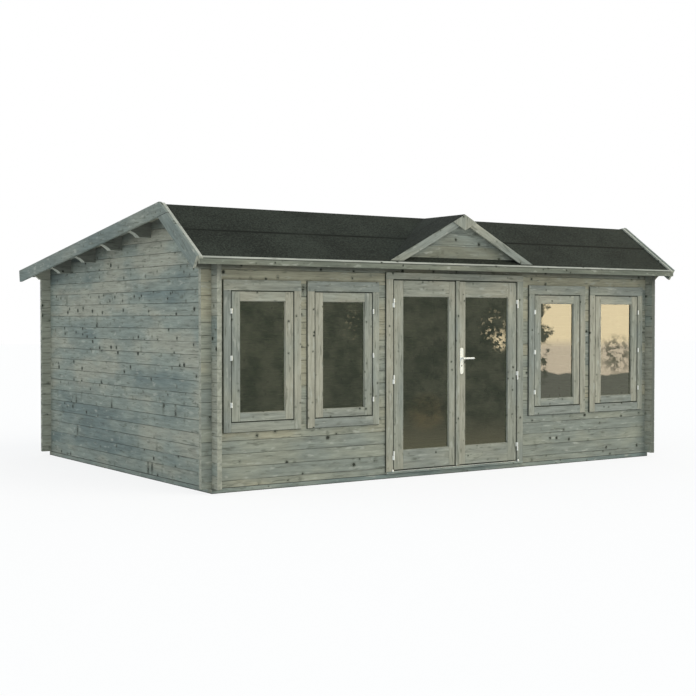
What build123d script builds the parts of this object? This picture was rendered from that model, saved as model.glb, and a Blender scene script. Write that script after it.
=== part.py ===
# Log garden house: hollow walls of stacked logs on a sill frame, a low unequal roof with a small gable
# over a glazed double door, and two fixed-glass casements on each side of it.
# Millimetres, +Z up. The front faces -Y. The origin is on the ground at the middle of the wall plan.
import os
from math import cos, radians, sin, tan

from build123d import *

# Driving dimensions: plan and logs
wall_depth = 3780.0
wall_t = 44.0
log_h = 114.0
log_end = 100.0
groove_half = 4.0
groove_depth = 5.0
corner_pier_w = 137.5
mid_pier_w = 130.0
door_pier_w = 162.5

# Driving dimensions: sill frame and floor
sill_h = 45.0
sill_w = 70.0
floor_t = 19.0
joist_w = 45.0
joist_count = 11

# Driving dimensions: roof
over_door_h = 170.0
ridge_from_front = 554.0
front_pitch = 35.0
back_pitch = 8.0
front_eave = 154.0
back_eave = 280.0
verge = 203.0
deck_t = 19.0
felt_t = 5.0
felt_lap_t = 3.0
lap_from_ridge = 410.0
batten_w = 34.0
batten_t = 12.0
eave_batten_w = 26.0
eave_batten_t = 8.0
barge_t = 26.0
barge_above = 18.0
barge_depth = 124.0
fascia_t = 20.0
fascia_drop = 28.0
purlin_w = 90.0
purlin_depth = 143.0
purlin_ahead = 22.0
purlin_count = 5
purlin_back_inset = 626.0
end_rise = 52.0
end_run = 85.0
end_hollow = 9.0

# Driving dimensions: small gable over the door
gable_pitch = 27.5
gable_drop = 4.0
gable_front_inset = 31.0
gable_barge_t = 20.0
gable_barge_depth = 72.0
gable_face_t = 19.0
gable_face_inset = 38.0
gable_first_board = 129.0
cover_half_w = 143.0
cover_t = 14.0

# Driving dimensions: windows
window_opening_w = 725.0
window_base_course = 4
window_head_course = 15
lining_t = 42.0
lining_head_t = 66.0
casing_t = 20.0
casing_side_w = 72.0
casing_base_w = 82.0
casing_head_w = 92.0
sash_gap = 3.0
sash_t = 44.0
sash_member = 88.0
sash_foot = 80.0
sash_inset = 4.0
stop_w = 14.0
pane_t = 4.0
pane_seat = 9.0
window_hinge_count = 3
window_hinge_low = 152.0
window_hinge_high = 176.0
window_barrel_h = 44.0

# Driving dimensions: doors
door_opening_w = 1600.0
door_head_course = 16
door_jamb_t = 28.0
door_head_t = 54.0
door_casing_w = 78.0
door_casing_head_w = 62.0
door_gap = 6.0
meeting_offset = 21.0
door_stile = 114.0
door_meeting_stile = 112.0
door_top_rail = 155.0
door_bottom_rail = 186.0
threshold_lip = 22.0
strip_h = 3.0
strip_w = 24.0
meeting_strip_w = 42.0
meeting_strip_t = 8.0

# Driving dimensions: hinges and lever handle
barrel_r = 7.0
barrel_h = 40.0
barrel_gap = 2.0
barrel_clear = 1.0
pin_r = 3.5
pin_play = 0.3
flap_w = 10.0
flap_t = 3.0
door_hinge_low = 142.0
door_hinge_high = 219.0
plate_w = 42.0
plate_h = 255.0
plate_t = 8.0
handle_gap = 5.0
handle_h = 1115.0
plate_above = 103.0
spindle_r = 5.0
spindle_play = 1.5
neck_r = 9.0
neck_len = 40.0
lever_r = 9.0
lever_len = 125.0
lever_gap = 0.5

# One overrun serves all cuts
over = 50.0

# Derived places along the front: the openings and the short logs between them add up to the wall
window_half = window_opening_w / 2
door_half = door_opening_w / 2
window_inner_x = door_half + door_pier_w + window_half
window_outer_x = window_inner_x + window_opening_w + mid_pier_w
half_l = window_outer_x + window_half + corner_pier_w
front_end_x = half_l + log_end

# Derived places across the house
half_d = wall_depth / 2
front_face = -half_d
front_inner = front_face + wall_t
back_face = half_d
back_inner = back_face - wall_t
floor_top = sill_h + floor_t
ridge_y = front_face + ridge_from_front
verge_in = half_l + verge
verge_out = verge_in + barge_t
eave_front_y = front_face - front_eave
eave_back_y = back_face + back_eave
fascia_front_y = eave_front_y - fascia_t
fascia_back_y = eave_back_y + fascia_t
tan_front = tan(radians(front_pitch))
tan_back = tan(radians(back_pitch))
tan_gable = tan(radians(gable_pitch))
felt_top = deck_t + felt_t
trim_top = felt_top + barge_above
batten_top = felt_top + batten_t
log_quarter = log_h / 4


# Log courses: the side walls start with a whole log, the front and back with half a log
def side_joint(course):
    return sill_h + course * log_h


def front_joint(course):
    return sill_h + log_h / 2 + course * log_h


window_base = front_joint(window_base_course)
window_head = front_joint(window_head_course)
door_head = front_joint(door_head_course)
ridge_h = door_head + over_door_h + ridge_from_front * tan_front
course_total = int((ridge_h - sill_h) // log_h) + 1
side_joints = [side_joint(course + 1) for course in range(course_total)]
front_joints = [front_joint(course) for course in range(course_total)]


def box(x0, x1, y0, y1, z0, z1):
    """Box between two corners."""
    return Pos(x0, y0, z0) * Box(x1 - x0, y1 - y0, z1 - z0, align=(Align.MIN, Align.MIN, Align.MIN))


def prism_x(points, x0, x1):
    """Outline of (y, z) points drawn along X."""
    face = Face(Wire.make_polygon([(x0, y, z) for y, z in points]))
    return Solid.extrude(face, Vector(x1 - x0, 0, 0))


def prism_y(points, y0, y1):
    """Outline of (x, z) points drawn along Y."""
    face = Face(Wire.make_polygon([(x, y0, z) for x, z in points]))
    return Solid.extrude(face, Vector(0, y1 - y0, 0))


def upright(x, y, radius, z0, z1):
    """Cylinder that stands on Z."""
    return Pos(x, y, z0) * Cylinder(radius, z1 - z0, align=(Align.CENTER, Align.CENTER, Align.MIN))


def rod(x, z, radius, y0, y1):
    """Cylinder that lies along Y."""
    return Pos(x, (y0 + y1) / 2, z) * (Rot(90, 0, 0) * Cylinder(radius, y1 - y0))


# Roof lines: every layer lies at its own height square to the slope
def front_line(y, height):
    """Height over ground of a layer of the front slope."""
    return ridge_h + height / cos(radians(front_pitch)) - (ridge_y - y) * tan_front


def back_line(y, height):
    """Height over ground of a layer of the back slope."""
    return ridge_h + height / cos(radians(back_pitch)) - (y - ridge_y) * tan_back


def ridge_point(height):
    """Where a layer of the two slopes meets."""
    rise = height / cos(radians(front_pitch)) - height / cos(radians(back_pitch))
    y = ridge_y - rise / (tan_front + tan_back)
    return (y, back_line(y, height))


def front_layer(low, high, y_end):
    """Outline of a layer of the front slope, cut upright at the eave."""
    eave = [(y_end, front_line(y_end, high)), (y_end, front_line(y_end, low))]
    return [ridge_point(low), ridge_point(high)] + eave


def back_layer(low, high, y_end):
    """Outline of a layer of the back slope, cut upright at the eave."""
    eave = [(y_end, back_line(y_end, high)), (y_end, back_line(y_end, low))]
    return [ridge_point(low), ridge_point(high)] + eave


def over_roof(height):
    """Everything over a layer of the roof, as one long prism."""
    sky = ridge_h + trim_top + over + wall_depth
    y_front = fascia_front_y - over
    y_back = fascia_back_y + over
    outline = [
        (y_front, sky), (y_front, front_line(y_front, height)), ridge_point(height),
        (y_back, back_line(y_back, height)), (y_back, sky),
    ]
    return prism_x(outline, -verge_out - over, verge_out + over)


def under_front_slope():
    """Everything below the felt of the front slope, back to beyond the ridge."""
    y_front = fascia_front_y - over
    front = [(y_front, 0), (y_front, front_line(y_front, felt_top))]
    outline = front + [ridge_point(felt_top), (back_face, ridge_h), (back_face, 0)]
    return prism_x(outline, -verge_out - over, verge_out + over)


above_walls = over_roof(0)


# Logs: every joint shows as a groove on both faces of the wall
def log_section(low_face, high_face, z0, z1, joints):
    """Wall section across its thickness, with a groove on both faces at every joint between logs."""
    inside = [z for z in joints if z0 + groove_half < z < z1 - groove_half]
    rising = [(low_face, z0)]
    for z in inside:
        rising += [(low_face, z - groove_half), (low_face + groove_depth, z), (low_face, z + groove_half)]
    rising += [(low_face, z1)]
    falling = [(high_face, z1)]
    for z in reversed(inside):
        falling += [(high_face, z + groove_half), (high_face - groove_depth, z), (high_face, z - groove_half)]
    falling += [(high_face, z0)]
    return rising + falling


def front_logs(x0, x1, z0, z1):
    """Logs of the front wall between two joints."""
    return prism_x(log_section(front_face, front_inner, z0, z1, front_joints), x0, x1)


def back_logs(x0, x1, z0, z1):
    """Logs of the back wall between two joints."""
    return prism_x(log_section(back_inner, back_face, z0, z1, front_joints), x0, x1)


# Corners: each log is notched to half its height where it crosses the other wall
def side_crossings(z_top):
    """Bands of height that the side logs keep where they cross."""
    bases = [side_joint(course) + log_quarter for course in range(course_total + 1)]
    return [(base, base + log_h / 2) for base in bases if base < z_top]


def long_crossings(z_top):
    """Bands of height that the front and back logs keep where they cross."""
    bands = [(sill_h, sill_h + log_quarter)]
    bands += [(z - log_quarter, z + log_quarter) for z in side_joints if z - log_quarter < z_top]
    return bands


def corner_boxes(bands, side, y0, y1):
    """The squares of one corner at the given heights."""
    x0, x1 = sorted((side * half_l, side * (half_l - wall_t)))
    return [box(x0, x1, y0, y1, low, high) for low, high in bands]


front_top_z = front_line(front_inner, 0)
back_top_z = back_line(back_inner, 0)
front_notches = [b for side in (-1, 1)
                 for b in corner_boxes(side_crossings(front_top_z), side, front_face, front_inner)]
back_notches = [b for side in (-1, 1)
                for b in corner_boxes(side_crossings(back_top_z), side, back_inner, back_face)]


# Shaped ends: the beams that carry the bargeboards are hollowed out below at both ends
def shaped_beam(y0, y1, z_base, z_top):
    """Beam along the roof whose underside curves up at both ends."""
    run_x = verge_in - end_run
    z_end = z_base + end_rise
    half_run = (verge_in + run_x) / 2
    mid_z = (z_base + z_end) / 2 + end_hollow
    edges = [
        Line((-verge_in, y0, z_top), (-verge_in, y0, z_end)),
        ThreePointArc((-verge_in, y0, z_end), (-half_run, y0, mid_z), (-run_x, y0, z_base)),
        Line((-run_x, y0, z_base), (run_x, y0, z_base)),
        ThreePointArc((run_x, y0, z_base), (half_run, y0, mid_z), (verge_in, y0, z_end)),
        Line((verge_in, y0, z_end), (verge_in, y0, z_top)),
        Line((verge_in, y0, z_top), (-verge_in, y0, z_top)),
    ]
    return Solid.extrude(Face(Wire(edges)), Vector(0, y1 - y0, 0)) - above_walls


purlin_first = ridge_y - purlin_ahead
purlin_step = (back_face - purlin_back_inset - ridge_y) / (purlin_count - 1)
purlin_fronts = [purlin_first + i * purlin_step for i in range(purlin_count)]
purlins = [shaped_beam(y, y + purlin_w, back_line(y, 0) - purlin_depth, ridge_h + over) for y in purlin_fronts]


# Side walls, up to the roof, with room for the purlins and for the crossing logs
def side_wall(side):
    x0, x1 = sorted((side * half_l, side * (half_l - wall_t)))
    section = log_section(x0, x1, sill_h, ridge_h, side_joints)
    wall = prism_y(section, front_face - log_end, back_face + log_end) - above_walls
    wall -= corner_boxes(long_crossings(front_top_z), side, front_face, front_inner)
    wall -= corner_boxes(long_crossings(back_top_z), side, back_inner, back_face)
    return wall - purlins


# Front wall in the pieces that the openings leave, and the back wall
def front_lower(side):
    x0, x1 = sorted((side * front_end_x, side * door_half))
    return front_logs(x0, x1, sill_h, window_base) - front_notches


def front_piers(side):
    """Short logs beside and between the two windows of one side."""
    spans = [
        (front_end_x, window_outer_x + window_half),
        (window_outer_x - window_half, window_inner_x + window_half),
        (window_inner_x - window_half, door_half),
    ]
    piers = []
    for span in spans:
        x0, x1 = sorted(side * x for x in span)
        piers += [front_logs(x0, x1, window_base, window_head) - front_notches]
    return piers


def front_top():
    """Logs over the windows and the door: the topmost one carries the bargeboards."""
    wall = front_logs(-front_end_x, front_end_x, window_head, ridge_h)
    wall -= box(-door_half, door_half, front_face - over, front_inner + over, window_head - over, door_head)
    wall += shaped_beam(front_face, front_inner, door_head, ridge_h)
    return wall - above_walls - front_notches


def back_wall():
    """The topmost log, at least half a log high, carries the bargeboards."""
    top_joint = max(z for z in front_joints if z < back_line(back_face, 0) - log_h / 2)
    wall = back_logs(-front_end_x, front_end_x, sill_h, ridge_h)
    wall += shaped_beam(back_inner, back_face, top_joint, ridge_h)
    return wall - above_walls - back_notches


# Sill frame, joists and floor
def long_sills():
    return [box(-half_l, half_l, front_face, front_face + sill_w, 0, sill_h),
            box(-half_l, half_l, back_face - sill_w, back_face, 0, sill_h)]


def end_sills():
    y = half_d - sill_w
    return [box(-half_l, -half_l + sill_w, -y, y, 0, sill_h), box(half_l - sill_w, half_l, -y, y, 0, sill_h)]


def joists():
    reach = half_l - sill_w
    pitch = 2 * reach / (joist_count + 1)
    y = half_d - sill_w
    places = [-reach + pitch * (i + 1) for i in range(joist_count)]
    return [box(x - joist_w / 2, x + joist_w / 2, -y, y, 0, sill_h) for x in places]


def floor():
    return box(-half_l + wall_t, half_l - wall_t, front_inner, back_inner, sill_h, floor_top)


# Roof skins
def deck(front):
    outline = front_layer(0, deck_t, eave_front_y) if front else back_layer(0, deck_t, eave_back_y)
    return prism_x(outline, -verge_in, verge_in)


def felt_front():
    """Two strips in one sheet: the upper strip laps over the lower one."""
    sheet = prism_x(front_layer(deck_t, felt_top, eave_front_y), -verge_in, verge_in)
    lap_y = ridge_point(felt_top)[0] - lap_from_ridge * cos(radians(front_pitch))
    thin = felt_top - felt_lap_t
    y_out = eave_front_y - over
    lower = [(lap_y, front_line(lap_y, thin)), (lap_y, front_line(lap_y, felt_top) + over),
             (y_out, front_line(y_out, felt_top) + over), (y_out, front_line(y_out, thin))]
    return sheet - prism_x(lower, -verge_in - over, verge_in + over)


def felt_back():
    return prism_x(back_layer(deck_t, felt_top, eave_back_y), -verge_in, verge_in)


def fascia(front):
    line = front_line if front else back_line
    y0 = eave_front_y if front else eave_back_y
    y1 = fascia_front_y if front else fascia_back_y
    base = line(y0, 0) - fascia_drop
    outline = [(y0, base), (y1, base), (y1, line(y1, felt_top)), (y0, line(y0, felt_top))]
    return prism_x(outline, -verge_in, verge_in)


def eave_batten():
    """Strip along the eave that lies on the fascia and on the edge of the felt."""
    y1 = fascia_front_y + eave_batten_w * cos(radians(front_pitch))
    thin = felt_top - felt_lap_t
    high = felt_top + eave_batten_t
    stops = [(fascia_front_y, thin), (y1, thin), (y1, high), (fascia_front_y, high)]
    outline = [(y, front_line(y, height)) for y, height in stops]
    return prism_x(outline, -verge_in + batten_w, verge_in - batten_w) - felt_sheet - fascia_front_board


def square_end(line, pitch, y_tip, facing):
    """Tip and lower corner of a board whose end is cut square to its slope."""
    y_low = y_tip - facing * barge_depth * sin(radians(pitch))
    return (y_tip, line(y_tip, trim_top)), (y_low, line(y_low, trim_top - barge_depth))


def barge_back(side):
    """Long board: it runs on to the ridge and is cut off along the front slope."""
    y_low = ridge_point(trim_top)[0] - barge_depth / cos(radians(back_pitch)) / (tan_front + tan_back)
    tip, heel = square_end(back_line, back_pitch, fascia_back_y, 1)
    outline = [ridge_point(trim_top), tip, heel, (y_low, front_line(y_low, trim_top))]
    x0, x1 = sorted((side * verge_in, side * verge_out))
    return prism_x(outline, x0, x1)


def barge_front(side):
    """Short board: it butts against the underside of the long one."""
    y_top = ridge_point(trim_top)[0] - barge_depth / cos(radians(back_pitch)) / (tan_front + tan_back)
    tip, heel = square_end(front_line, front_pitch, fascia_front_y, -1)
    outline = [(y_top, front_line(y_top, trim_top)), ridge_point(trim_top - barge_depth), heel, tip]
    x0, x1 = sorted((side * verge_in, side * verge_out))
    return prism_x(outline, x0, x1)


def verge_battens():
    """Strips over the felt along the gable ends, beside the bargeboards."""
    thin = felt_top - felt_lap_t
    strips = []
    for x0, x1 in ((-verge_in, -verge_in + batten_w), (verge_in - batten_w, verge_in)):
        strip = prism_x(front_layer(thin, batten_top, fascia_front_y), x0, x1)
        strip += prism_x(back_layer(felt_top, batten_top, fascia_back_y), x0, x1)
        strips += [strip - felt_sheet - fascia_front_board]
    return strips


# Small gable over the door: it stands on the felt of the front slope
gable_apex = ridge_point(felt_top)[1] - gable_drop
gable_front_y = eave_front_y + gable_front_inset
gable_behind = gable_front_y + gable_barge_t
gable_half = (gable_apex - front_line(gable_front_y, felt_top)) / tan_gable + over
cos_gable = cos(radians(gable_pitch))
under_felt = under_front_slope()


def chevron(low, high):
    """Outline of a layer of both slopes of the small gable, measured down from its ridge."""
    def left(depth):
        return (-gable_half, gable_apex - depth / cos_gable - gable_half * tan_gable)

    def top(depth):
        return (0, gable_apex - depth / cos_gable)

    def right(depth):
        return (gable_half, gable_apex - depth / cos_gable - gable_half * tan_gable)
    return [left(low), top(low), right(low), right(high), top(high), left(high)]


def gable_felt():
    return prism_y(chevron(0, felt_t), gable_front_y, ridge_y) - under_felt


def gable_deck():
    return prism_y(chevron(felt_t, felt_t + deck_t), gable_behind, ridge_y) - under_felt


def gable_face():
    """Boarded triangle behind the bargeboards, in courses as high as the logs."""
    y0 = gable_behind + gable_face_inset
    y1 = y0 + gable_face_t
    drop = (felt_t + deck_t) / cos_gable
    base = front_line(y0, felt_top) - over
    apex = gable_apex - drop
    half = (apex - base) / tan_gable
    board = prism_y([(-half, base), (0, apex), (half, base)], y0, y1) - under_felt
    joint = front_line(y0, felt_top) + gable_first_board
    while joint < apex:
        notch = [(y0, joint - groove_half), (y0 + groove_depth, joint), (y0, joint + groove_half)]
        board -= prism_x(notch, -half, half)
        joint += log_h
    return board


def gable_barge(side):
    boards = prism_y(chevron(felt_t, felt_t + gable_barge_depth), gable_front_y, gable_behind) - under_felt
    x0, x1 = sorted((0, side * (gable_half + over)))
    return boards & box(x0, x1, gable_front_y - over, gable_behind + over, 0, ridge_h + over)


def gable_cover():
    """Lozenge board that hides the mitre of the two bargeboards."""
    top = gable_apex - felt_t / cos_gable
    drop = cover_half_w * tan_gable
    outline = [(0, top), (cover_half_w, top - drop), (0, top - 2 * drop), (-cover_half_w, top - drop)]
    return prism_y(outline, gable_front_y - cover_t, gable_front_y)


# Windows: a lining with casings in and out, and a sash with its pane
casing_front = front_face - casing_t
casing_back = front_inner + casing_t
sash_front = casing_front + sash_inset
sash_back = sash_front + sash_t
pane_y = (sash_front + sash_back) / 2
clear_half = window_half - lining_t
clear_base = window_base + lining_t
clear_head = window_head - lining_head_t
sash_half = clear_half - sash_gap
sash_base = clear_base + sash_gap
sash_head = clear_head - sash_gap
window_xs = {"left": (-window_outer_x, -window_inner_x), "right": (window_inner_x, window_outer_x)}


def window_frame(x):
    frame = box(x - window_half, x + window_half, front_face, front_inner, window_base, window_head)
    x0, x1 = x - clear_half - casing_side_w, x + clear_half + casing_side_w
    z0, z1 = clear_base - casing_base_w, clear_head + casing_head_w
    frame += box(x0, x1, casing_front, front_face, z0, z1)
    frame += box(x0, x1, front_inner, casing_back, z0, z1)
    frame -= box(x - clear_half, x + clear_half, casing_front - over, sash_back, clear_base, clear_head)
    half = clear_half - stop_w
    z0, z1 = clear_base + stop_w, clear_head - stop_w
    return frame - box(x - half, x + half, casing_front - over, casing_back + over, z0, z1)


def window_sash(x):
    half = sash_half - sash_member
    base = sash_base + sash_foot
    head = sash_head - sash_member
    sash = box(x - sash_half, x + sash_half, sash_front, sash_back, sash_base, sash_head)
    sash -= box(x - half, x + half, sash_front - over, sash_back + over, base, head)
    return sash - window_pane(x)


def window_pane(x):
    half = sash_half - sash_member + pane_seat
    return box(x - half, x + half, pane_y - pane_t / 2, pane_y + pane_t / 2,
               sash_base + sash_foot - pane_seat, sash_head - sash_member + pane_seat)


def barrel_flap(x_edge, toward, y_face, y_axis, z0, z1):
    """Flap screwed to a face, with the web that joins it to its barrel."""
    x0, x1 = sorted((x_edge, x_edge + toward * flap_w))
    w0, w1 = sorted((x_edge, x_edge + toward * barrel_r))
    return box(x0, x1, y_face - flap_t, y_face, z0, z1) + box(w0, w1, y_axis, y_face, z0, z1)


def window_hinges():
    """Barrels at the sash's outer edge: outer sashes hang on the outside, inner ones beside the door."""
    hinges = []
    span = sash_head - sash_base - window_hinge_low - window_hinge_high
    y_axis = casing_front - barrel_clear - barrel_r
    for x in window_xs["left"] + window_xs["right"]:
        hand = 1 if abs(x) == window_outer_x else -1
        hand *= 1 if x > 0 else -1
        edge = x + hand * clear_half
        axis = edge - hand * sash_gap / 2
        for i in range(window_hinge_count):
            z = sash_base + window_hinge_low + span * i / (window_hinge_count - 1)
            z0, z1 = z - window_barrel_h / 2, z + window_barrel_h / 2
            flap = barrel_flap(edge, hand, casing_front, y_axis, z0, z1)
            hinges += [upright(axis, y_axis, barrel_r, z0, z1) + flap]
    return hinges


# Door frame, threshold and the two leaves
jamb_in = door_half - door_jamb_t
head_in = door_head - door_head_t
leaf_front = casing_front + sash_inset
leaf_back = leaf_front + sash_t
leaf_half = jamb_in - door_gap
leaf_base = floor_top + strip_h + door_gap
leaf_head = head_in - door_gap
stop_front = leaf_back + door_gap


def door_frame():
    frame = box(-door_half, door_half, front_face, front_inner, floor_top, door_head)
    x, z = jamb_in + door_casing_w, head_in + door_casing_head_w
    frame += box(-x, x, casing_front, front_face, floor_top, z)
    frame += box(-x, x, front_inner, casing_back, floor_top, z)
    frame -= box(-jamb_in, jamb_in, casing_front - over, stop_front, 0, head_in)
    x, z = jamb_in - stop_w, head_in - stop_w
    return frame - box(-x, x, casing_front - over, casing_back + over, 0, z)


def threshold():
    x = jamb_in + door_casing_w
    board = box(-door_half, door_half, front_face - threshold_lip, front_inner, sill_h, floor_top)
    return board + box(-x, x, front_face - threshold_lip, front_face, sill_h, floor_top)


def threshold_strip():
    """Metal strip on the threshold, under the front edge of the leaves."""
    return box(-jamb_in, jamb_in, leaf_front, leaf_front + strip_w, floor_top, floor_top + strip_h)


def meeting_strip():
    """Cover strip on the right leaf, along the line where the leaves meet."""
    x0 = leaf_edges(1)[0]
    return box(x0, x0 + meeting_strip_w, leaf_front - meeting_strip_t, leaf_front, leaf_base, leaf_head)


def leaf_edges(side):
    """Inner and outer edge of a leaf: the meeting line is left of the middle."""
    middle = -meeting_offset + side * door_gap / 2
    return sorted((middle, side * leaf_half))


def pane_edges(side):
    return sorted((side * (door_meeting_stile - meeting_offset / 2), side * (leaf_half - door_stile)))


def door_leaf(side):
    x0, x1 = leaf_edges(side)
    leaf = box(x0, x1, leaf_front, leaf_back, leaf_base, leaf_head)
    p0, p1 = pane_edges(side)
    z0, z1 = leaf_base + door_bottom_rail, leaf_head - door_top_rail
    leaf -= box(p0, p1, leaf_front - over, leaf_back + over, z0, z1)
    leaf -= door_pane(side)
    if side > 0:
        leaf -= rod(handle_x, handle_h, spindle_r + spindle_play, leaf_front - over, leaf_back + over)
    return leaf


def door_pane(side):
    p0, p1 = pane_edges(side)
    return box(p0 - pane_seat, p1 + pane_seat, pane_y - pane_t / 2, pane_y + pane_t / 2,
               leaf_base + door_bottom_rail - pane_seat, leaf_head - door_top_rail + pane_seat)


# Door hinges: the lower knuckle and its pin stay on the casing, the upper one turns with the leaf
hinge_x = leaf_half + door_gap / 2
hinge_y = casing_front - barrel_clear - barrel_r
hinge_zs = (leaf_base + door_hinge_low, (leaf_base + door_hinge_low + leaf_head - door_hinge_high) / 2,
            leaf_head - door_hinge_high)


def leaf_hinges(side):
    knuckles = []
    for z in hinge_zs:
        z0, z1 = z + barrel_gap / 2, z + barrel_gap / 2 + barrel_h
        knuckle = upright(side * hinge_x, hinge_y, barrel_r, z0, z1)
        knuckle += barrel_flap(side * leaf_half, -side, leaf_front, hinge_y, z0, z1)
        knuckles += [knuckle - upright(side * hinge_x, hinge_y, pin_r + pin_play, z0 - over, z1 + over)]
    return knuckles


def casing_hinges():
    knuckles = []
    for side in (-1, 1):
        for z in hinge_zs:
            z0, z1 = z - barrel_gap / 2 - barrel_h, z - barrel_gap / 2
            knuckle = upright(side * hinge_x, hinge_y, barrel_r, z0, z1)
            knuckle += upright(side * hinge_x, hinge_y, pin_r, z0, z + barrel_gap / 2 + barrel_h)
            knuckles += [knuckle + barrel_flap(side * jamb_in, side, casing_front, hinge_y, z0, z1)]
    return knuckles


# Lever handle on the right leaf: long plates in and out, and two levers on one spindle
handle_x = leaf_edges(1)[0] + meeting_strip_w + handle_gap + plate_w / 2


def handle_plate(y0, y1):
    z0, z1 = handle_h + plate_above - plate_h, handle_h + plate_above
    r = plate_w / 2
    plate = box(handle_x - r, handle_x + r, y0, y1, z0 + r, z1 - r)
    plate += rod(handle_x, z0 + r, r, y0, y1) + rod(handle_x, z1 - r, r, y0, y1)
    return plate - rod(handle_x, handle_h, spindle_r + spindle_play, y0 - over, y1 + over)


def lever_handle():
    out0, out1 = leaf_front - plate_t - lever_gap, leaf_front - plate_t - lever_gap - neck_len
    in0, in1 = leaf_back + plate_t + lever_gap, leaf_back + plate_t + lever_gap + neck_len
    lever = rod(handle_x, handle_h, spindle_r, out1, in1)
    for y_near, y_far in ((out0, out1), (in0, in1)):
        lever += rod(handle_x, handle_h, neck_r, min(y_near, y_far), max(y_near, y_far))
        y_bar = y_far + lever_r if y_far < y_near else y_far - lever_r
        bar = Pos(handle_x + lever_len / 2, y_bar, handle_h) * (Rot(0, 90, 0) * Cylinder(lever_r, lever_len))
        lever += bar + Pos(handle_x + lever_len, y_bar, handle_h) * Sphere(lever_r)
    return lever


# Write every piece to its own file
felt_sheet = felt_front()
fascia_front_board = fascia(True)


def pieces():
    yield "long_sills", long_sills()
    yield "end_sills", end_sills()
    yield "floor_joists", joists()
    yield "floor", floor()
    for name, side in (("left", -1), ("right", 1)):
        yield f"front_{name}_lower", front_lower(side)
        yield f"front_{name}_piers", front_piers(side)
        yield f"{name}_wall", side_wall(side)
        yield f"{name}_back_bargeboard", barge_back(side)
        yield f"{name}_front_bargeboard", barge_front(side)
        yield f"gable_{name}_bargeboard", gable_barge(side)
        yield f"{name}_window_frames", [window_frame(x) for x in window_xs[name]]
        yield f"{name}_window_sashes", [window_sash(x) for x in window_xs[name]]
        yield f"{name}_door_leaf", door_leaf(side)
        yield f"{name}_door_glass", door_pane(side)
        yield f"{name}_leaf_hinges", leaf_hinges(side)
    yield "front_wall_top", front_top()
    yield "back_wall", back_wall()
    yield "purlins", purlins
    yield "roof_deck_front", deck(True)
    yield "roof_deck_back", deck(False)
    yield "roof_felt_front", felt_sheet
    yield "roof_felt_back", felt_back()
    yield "front_fascia", fascia_front_board
    yield "back_fascia", fascia(False)
    yield "eave_batten", eave_batten()
    yield "verge_battens", verge_battens()
    yield "gable_felt", gable_felt()
    yield "gable_deck", gable_deck()
    yield "gable_face", gable_face()
    yield "gable_cover_board", gable_cover()
    yield "window_glass", [window_pane(x) for name in ("left", "right") for x in window_xs[name]]
    yield "window_hinges", window_hinges()
    yield "door_frame", door_frame()
    yield "threshold", threshold()
    yield "threshold_strip", threshold_strip()
    yield "meeting_strip", meeting_strip()
    yield "casing_hinges", casing_hinges()
    yield "handle_plates", [handle_plate(y, y + plate_t) for y in (leaf_front - plate_t, leaf_back)]
    yield "lever_handle", lever_handle()


os.makedirs("parts", exist_ok=True)
for node, shape in pieces():
    solids = [s for part in (shape if isinstance(shape, list) else [shape]) for s in part.solids()]
    export_step(Compound(children=solids) if len(solids) > 1 else solids[0], f"parts/{node}.step")
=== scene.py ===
"""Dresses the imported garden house: boards, beads and finishes on the fixed frame, and a plain pale stage."""
import math

import bpy
import numpy as np
from bpy.props import FloatProperty, FloatVectorProperty, PointerProperty
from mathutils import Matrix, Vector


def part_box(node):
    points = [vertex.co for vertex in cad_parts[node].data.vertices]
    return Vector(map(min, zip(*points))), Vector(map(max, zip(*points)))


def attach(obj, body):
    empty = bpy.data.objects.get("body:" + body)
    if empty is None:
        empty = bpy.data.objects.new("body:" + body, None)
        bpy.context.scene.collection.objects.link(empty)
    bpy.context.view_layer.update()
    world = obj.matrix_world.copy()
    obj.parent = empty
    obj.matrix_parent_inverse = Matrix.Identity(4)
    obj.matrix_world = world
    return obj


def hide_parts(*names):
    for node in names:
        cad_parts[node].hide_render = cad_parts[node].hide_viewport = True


bl_info = {
    "name": "Garden House Finishes",
    "version": (1, 0, 0),
    "blender": (4, 5, 0),
    "location": "3D View > Sidebar > Garden House",
    "description": "Boards, beads, finishes and stage for a log garden house",
    "category": "Object",
}

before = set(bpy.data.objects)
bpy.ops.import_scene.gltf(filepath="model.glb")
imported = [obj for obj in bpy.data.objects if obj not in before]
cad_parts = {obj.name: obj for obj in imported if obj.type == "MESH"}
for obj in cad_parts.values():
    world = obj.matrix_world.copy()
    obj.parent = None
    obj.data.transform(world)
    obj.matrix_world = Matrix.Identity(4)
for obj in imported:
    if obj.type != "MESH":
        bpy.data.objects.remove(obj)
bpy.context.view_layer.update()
X_AXIS, Y_AXIS, Z_AXIS = np.eye(3)
SIDES = ("left", "right")
WHITE = (1.0, 1.0, 1.0, 1.0)

# Tone shares, from cool to warm: a leaf's or a sash's left and right stile, foot rail and head rail
DOOR_TONES = {"left": (0.75, 0.75, 0.0, 1.1), "right": (1.15, 0.65, 0.1, 1.1)}
SASH_TONES = ((0.55, 1.1, -0.1, 0.3), (1.1, 0.45, -0.1, 0.3))
# Tone shares of the front casings: head and both sides at the door, with the foot too at each window
DOOR_CASING_TONES = (0.9, 1.25, 0.5)
WINDOW_CASING_TONES = ((-0.3, 0.2, 0.9, -0.2), (-0.3, 0.9, 0.2, -0.2))
# Tone share of the frame boards behind the front casings
MIDDLE_TONE = 0.5

# How much warmer the side walls, the top of the front wall and the crossing log ends are
SIDE_WARMTH, TOP_WARMTH, ENDS_WARMTH, BACK_ENDS_WARMTH = 0.03, 0.2, 0.12, 0.3
# Heights between which the lowest courses turn from a little cooler to the usual tone
FOOT_HEIGHTS, FOOT_COOLING = (0.15, 0.6), 0.03
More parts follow.
